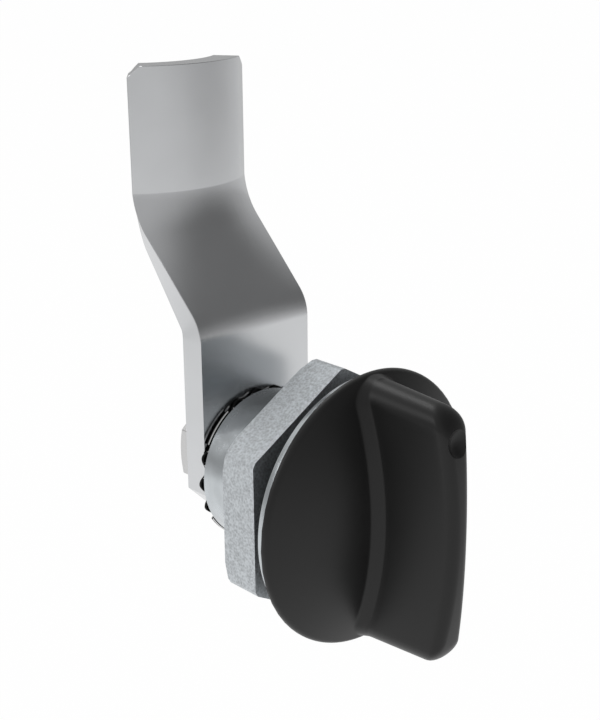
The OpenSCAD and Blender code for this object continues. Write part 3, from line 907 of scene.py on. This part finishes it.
housing = bmesh.new()
turned(housing, [
    (BORE_RADIUS, barrel_end), (BORE_RADIUS, flange_front), (flange_radius - FLANGE_CHAMFER, flange_front),
    (flange_radius, flange_front + FLANGE_CHAMFER), (flange_radius, flange_back), (neck_root, flange_back),
    *thread(THREAD_RADIUS, THREAD_PITCH, flange_back, THREAD_TURNS),
    (neck_root, thread_end), (BARREL_RADIUS, thread_end), (BARREL_RADIUS, GROOVE_START),
    (BARREL_RADIUS - GROOVE_DEPTH, (GROOVE_START + GROOVE_END) / 2), (BARREL_RADIUS, GROOVE_END),
    (BARREL_RADIUS, barrel_end)])
flats = [
    block((left, flange_back, -FLATS_TOOL), (right, thread_end, FLATS_TOOL))
    for left, right in ((-FLATS_TOOL, -FLATS_HALF), (FLATS_HALF, FLATS_TOOL))]
housing = carved(housing, flats)


def off_the_thread(edge):
    return middle(edge).y > thread_end + MARGIN or outside(edge, THREAD_RADIUS)


ease_edges(housing, HOUSING_EASE, where=off_the_thread)
finished(housing, "housing_casting", "housing", housing_bright)

# %% [markdown]
# ## Gasket
# A flat rubber ring seals the flange against the panel. It bulges a little where it is squeezed, so its
# edges are rounded with a bevel of several segments.

# %% Spin the gasket
NECK_CLEAR = 0.05
GASKET_BULGE, BULGE_SEGMENTS = 0.15, 4

gasket = bmesh.new()
turned(gasket, [
    (THREAD_RADIUS + NECK_CLEAR, gasket_low.y), (gasket_high.x, gasket_low.y),
    (gasket_high.x, gasket_high.y), (THREAD_RADIUS + NECK_CLEAR, gasket_high.y)])
ease_edges(gasket, GASKET_BULGE, segments=BULGE_SEGMENTS)
finished(gasket, "gasket_ring", "flange_gasket", seal_black)

# %% [markdown]
# ## Panel nut
# A hexagon nut starts as a turned ring with a cone on its back, and the six flats are cut last. Made in
# that order, the corners stay round where the ring was turned, and each flat gets its shoulders by itself.

# %% Spin the nut and cut its flats
NUT_CORNER_CUT, NUT_CHAMFER = 0.2, 0.8
THREAD_CLEAR = 0.08
CHAMFER_ANGLE = math.radians(30)
NUT_EASE = 0.08

nut_flats = nut_high.x - nut_low.x
nut_radius = nut_flats / math.sqrt(3) - NUT_CORNER_CUT
nut_chamfer = NUT_CHAMFER * math.tan(CHAMFER_ANGLE)
nut_thread = [
    (radius, y) for radius, y in thread(THREAD_RADIUS + THREAD_CLEAR, THREAD_PITCH, flange_back, THREAD_TURNS)
    if nut_low.y < y < nut_high.y]

nut = bmesh.new()
turned(nut, [
    (nut_radius, nut_low.y), (nut_radius, nut_high.y - nut_chamfer),
    (nut_radius - NUT_CHAMFER, nut_high.y), (nut_thread[-1][0], nut_high.y),
    *reversed(nut_thread), (nut_thread[0][0], nut_low.y)])
cut_hexagon(nut, nut_flats)
ease_edges(nut, NUT_EASE, where=lambda edge: outside(edge, THREAD_RADIUS))
finished(nut, "nut_hexagon", "panel_nut", nut_grey)

# %% [markdown]
# ## Wave washer
# A thin spring ring keeps the cam from rattling. Groups of waves, drawn in a little where they dip, alternate
# with level stretches. Its skin is black, partly its own blackening and partly painted shade for the gaps
# beside it, and the corners of its rim carry a painted highlight, except on the crests. A modifier could wave
# it too, but not in groups. So a flat ring is spun first, and then every point is moved by the wave at its
# angle.

# %% Spin and wave the washer
# The second size is the width of the rim's corners, where the highlight is painted.
WAVE_SHEET, WAVE_HIGHLIGHT_CORNER = 0.4, 0.1
WAVE_INNER_RADIUS = 6.2
WAVE_GROUP, WAVE_PITCH, GROUP_WAVES, GROUP_TURN = 90, 20.5, 3, 2
WAVE_LEVEL, WAVE_DRAWN_IN = 0.5, 0.6
WAVE_STEPS = 720
SLANT_LOW, SLANT_HIGH = 0.3, 0.9

wave_radius = wave_high.x
wave_lift = wave_high.y - wave_low.y - WAVE_SHEET


def wave(angle):
    """Shares of the lift and of the drawing in at an angle in degrees, counted from the right."""
    place = (angle - GROUP_TURN + WAVE_GROUP / 2) % WAVE_GROUP - WAVE_GROUP / 2
    if abs(place) > GROUP_WAVES / 2 * WAVE_PITCH:
        return WAVE_LEVEL, 0
    dip = (1 - math.cos(math.tau * place / WAVE_PITCH)) / 2
    return 1 - dip, dip


def angle_of(place):
    return math.degrees(math.atan2(place.z, place.x))


washer = bmesh.new()
highlight_corner_radius = wave_radius - WAVE_HIGHLIGHT_CORNER
wave_top = wave_low.y + WAVE_SHEET
washer_outline = [
    (WAVE_INNER_RADIUS, wave_low.y), (highlight_corner_radius, wave_low.y), (wave_radius, wave_low.y + WAVE_HIGHLIGHT_CORNER),
    (wave_radius, wave_top - WAVE_HIGHLIGHT_CORNER), (highlight_corner_radius, wave_top), (WAVE_INNER_RADIUS, wave_top)]
turned(washer, washer_outline, WAVE_STEPS)
# Painted highlight: the rim's corner faces get the bright finish, except on the crests.
for face in washer.faces:
    lift, _ = wave(angle_of(face.calc_center_median()))
    is_corner = SLANT_LOW < abs(face.normal.y) < SLANT_HIGH
    face.material_index = 1 if is_corner and lift <= WAVE_LEVEL else 0
for vert in washer.verts:
    lift, drawn_in = wave(angle_of(vert.co))
    vert.co.y += wave_lift * lift
    if vert.co.xz.length > WAVE_INNER_RADIUS + MARGIN:
        vert.co.xz *= 1 - WAVE_DRAWN_IN * drawn_in / wave_radius
# Black with painted shade for the skin, and a painted highlight for the rim's corners.
finished(washer, "wave_spring", "wave_washer", black_steel_and_shade, painted_rim_highlight)

# %% [markdown]
# ## Cam
# The cam is pressed from one strip: the blank is cut flat with its square hole and trimmed corners, then
# cranked backwards, and its tongue is bowed across its width. The mesh is made in the same order. A flat
# face is ruled with cuts, the hole and corners come off, every point is moved to its place on the bent
# strip, and the sheet gets its thickness last.

# %% Blank of the cam
CAM_THICKNESS = 3.3
HUB_HALF = 8.45
HUB_CUT = 5.9
SQUARE_HALF = 4.05
BEND_START = 16.6
BEND_ANGLE, CREASE_ANGLE = math.radians(45), math.radians(7)
LOW_RADIUS, HIGH_RADIUS, CREASE_WIDTH = 4.8, 8.0, 0.06
CRANK = 8.33
TONGUE_RADIUS = 13.3
TONGUE_CUT = 1.2
ROW_STEP, COLUMNS = 0.4, 32

cam_front = cam_low.y
tongue_half = cam_high.x
tongue_end = cam_high.z
hub_end = cam_low.z


def tongue_bow(x):
    """How far the tongue's front lies behind the hub's front at a distance from the middle."""
    return CRANK + TONGUE_RADIUS - math.sqrt(TONGUE_RADIUS ** 2 - x ** 2)


edge_offset = tongue_bow(tongue_half)
low_rise = LOW_RADIUS * math.sin(BEND_ANGLE)
low_depth = LOW_RADIUS * (1 - math.cos(BEND_ANGLE))
high_rise = HIGH_RADIUS * (math.sin(BEND_ANGLE) - math.sin(CREASE_ANGLE))
high_depth = HIGH_RADIUS * (math.cos(CREASE_ANGLE) - math.cos(BEND_ANGLE))
straight_rise = (edge_offset - low_depth - high_depth) / math.tan(BEND_ANGLE)
bend_end = BEND_START + low_rise + straight_rise + high_rise


def ruled(bm, axis, places):
    """Cut lines into a flat sheet at places along an axis."""
    normal = Vector((axis == "x", 0, axis == "z"))
    for place in places:
        cut_off(bm, normal * place, normal, beyond=False)


def in_the_square(face):
    centre = face.calc_center_median()
    return max(abs(centre.x), abs(centre.z)) < SQUARE_HALF


cam = bmesh.new()
corners = [(-HUB_HALF, hub_end), (HUB_HALF, hub_end), (HUB_HALF, tongue_end), (-HUB_HALF, tongue_end)]
cam.faces.new([cam.verts.new((x, 0, z)) for x, z in corners])
rows = [BEND_START + ROW_STEP * i for i in range(int((tongue_end - BEND_START) / ROW_STEP))]
crease = [bend_end - CREASE_WIDTH, bend_end, bend_end + CREASE_WIDTH]
columns = [HUB_HALF * (2 * i / COLUMNS - 1) for i in range(1, COLUMNS)]
ruled(cam, "z", [-SQUARE_HALF, SQUARE_HALF, *crease, *rows])
ruled(cam, "x", [-SQUARE_HALF, SQUARE_HALF, *columns])
bmesh.ops.delete(cam, geom=[f for f in cam.faces if in_the_square(f)], context="FACES")
for side in (-1, 1):
    cut_off(cam, (side * HUB_HALF, 0, hub_end + HUB_CUT), (side, 0, -1))
    cut_off(cam, (side * HUB_HALF, 0, tongue_end - TONGUE_CUT), (side, 0, 1))
print("blank of the cam, faces:", len(cam.faces))

# %% [markdown]
# The crank follows two arcs with a straight stretch between them, and a faint crease marks where the die
# pressed the tongue. Along it the share of the offset grows from none at the hub to all at the tongue, and
# the bow of the tongue fades in with the same share.

# %% Bend the cam
CAM_EASE, CAM_SHARP_ANGLE = 0.07, 35


def crank_share(z):
    """Share of the crank's offset that the strip's edge has reached at a height."""
    up_from_start, down_from_end = z - BEND_START, bend_end - z
    if up_from_start <= 0:
        return 0
    if down_from_end <= 0:
        return 1
    if up_from_start < low_rise:
        return (LOW_RADIUS - math.sqrt(LOW_RADIUS ** 2 - up_from_start ** 2)) / edge_offset
    if down_from_end < high_rise:
        turn = math.asin(math.sin(CREASE_ANGLE) + down_from_end / HIGH_RADIUS)
        return 1 - HIGH_RADIUS * (math.cos(CREASE_ANGLE) - math.cos(turn)) / edge_offset
    return (low_depth + (up_from_start - low_rise) * math.tan(BEND_ANGLE)) / edge_offset


for vert in cam.verts:
    share = crank_share(vert.co.z)
    x = vert.co.x * blended(1, tongue_half / HUB_HALF, share)
    vert.co = Vector((x, cam_front + tongue_bow(x) * share, vert.co.z))
bmesh.ops.recalc_face_normals(cam, faces=cam.faces)
if sum(face.normal.y for face in cam.faces) > 0:
    bmesh.ops.reverse_faces(cam, faces=cam.faces)
bmesh.ops.solidify(cam, geom=cam.faces[:], thickness=CAM_THICKNESS)
bmesh.ops.recalc_face_normals(cam, faces=cam.faces)
ease_edges(cam, CAM_EASE, sharper_than=CAM_SHARP_ANGLE, segments=1)
finished(cam, "cam_strip", "cam", cam_grey)

# %% [markdown]
# ## Lock washer
# A split spring washer under the screw's head keeps the screw from working loose. A whole ring could be cut
# open afterwards, but it is simpler to sweep a square section almost all the way round.

# %% Sweep the lock washer
SCREW_RADIUS, SCREW_PITCH = 3.0, 1.0
LOCK_CLEAR = 0.1
LOCK_SPLIT = 0.8
LOCK_STEPS, LOCK_EASE = 96, 0.12

lock_radius = lock_high.x
lock_bore = SCREW_RADIUS + LOCK_CLEAR
split_angle = LOCK_SPLIT / ((lock_radius + lock_bore) / 2)
lock = bmesh.new()
section = [
    (lock_bore, lock_low.y), (lock_radius, lock_low.y),
    (lock_radius, lock_high.y), (lock_bore, lock_high.y)]
start = lock.faces.new([lock.verts.new((r, y, 0)) for r, y in section])
start_turn = Matrix.Rotation(math.pi / 2 + split_angle / 2, 3, "Y")
bmesh.ops.rotate(lock, verts=lock.verts, cent=(0, 0, 0), matrix=start_turn)
bmesh.ops.spin(
    lock, geom=[start, *start.edges, *start.verts], axis=(0, 1, 0), angle=math.tau - split_angle,
    steps=LOCK_STEPS)
tidy(lock)
ease_edges(lock, LOCK_EASE)
finished(lock, "lock_ring", "lock_washer", screw_bright)

# %% [markdown]
# ## Screw
# A hexagon head screw holds the cam on the spindle. Like the nut it is turned first and gets its six flats
# last, so that the cone on its head leaves an arc on each flat.

# %% Spin the screw and cut its flats
TIP_CHAMFER = 0.7
HEAD_FACE_SHARE = 0.97
SCREW_EASE = 0.1

head_front = lock_high.y
head_flats = screw_high.x - screw_low.x
head_corner = head_flats / math.sqrt(3)
head_chamfer = (head_corner - head_flats / 2) * math.tan(CHAMFER_ANGLE)
shank_root = thread_root(SCREW_RADIUS, SCREW_PITCH)
screw_turns = int((head_front - screw_low.y) / SCREW_PITCH)

screw = bmesh.new()
turned(screw, [
    (0, screw_low.y), (SCREW_RADIUS - TIP_CHAMFER, screw_low.y),
    *thread(SCREW_RADIUS, SCREW_PITCH, screw_low.y, screw_turns),
    (shank_root, head_front), (head_corner, head_front), (head_corner, screw_high.y - head_chamfer),
    (head_flats / 2 * HEAD_FACE_SHARE, screw_high.y), (0, screw_high.y)])
cut_hexagon(screw, head_flats)


def on_the_head(edge):
    return middle(edge).y > head_front - MERGE and outside(edge, SCREW_RADIUS)


ease_edges(screw, SCREW_EASE, where=on_the_head)
finished(screw, "screw_hexagon", "cam_screw", screw_bright)

# %% [markdown]
# ## Hidden pieces
# Spindle, stop pin and seal ring lie inside the latch. Their solids are right as they are, so they keep
# their own meshes and only get their finish.

# %% Finish the hidden pieces
for node, finish in (("spindle", turned_steel), ("stop_pin", turned_steel), ("spindle_o_ring", seal_black)):
    piece = frame["nodes"][node]
    piece.data.materials.clear()
    piece.data.materials.append(finish)
    print(node, "gets", finish.name)

# %% [markdown]
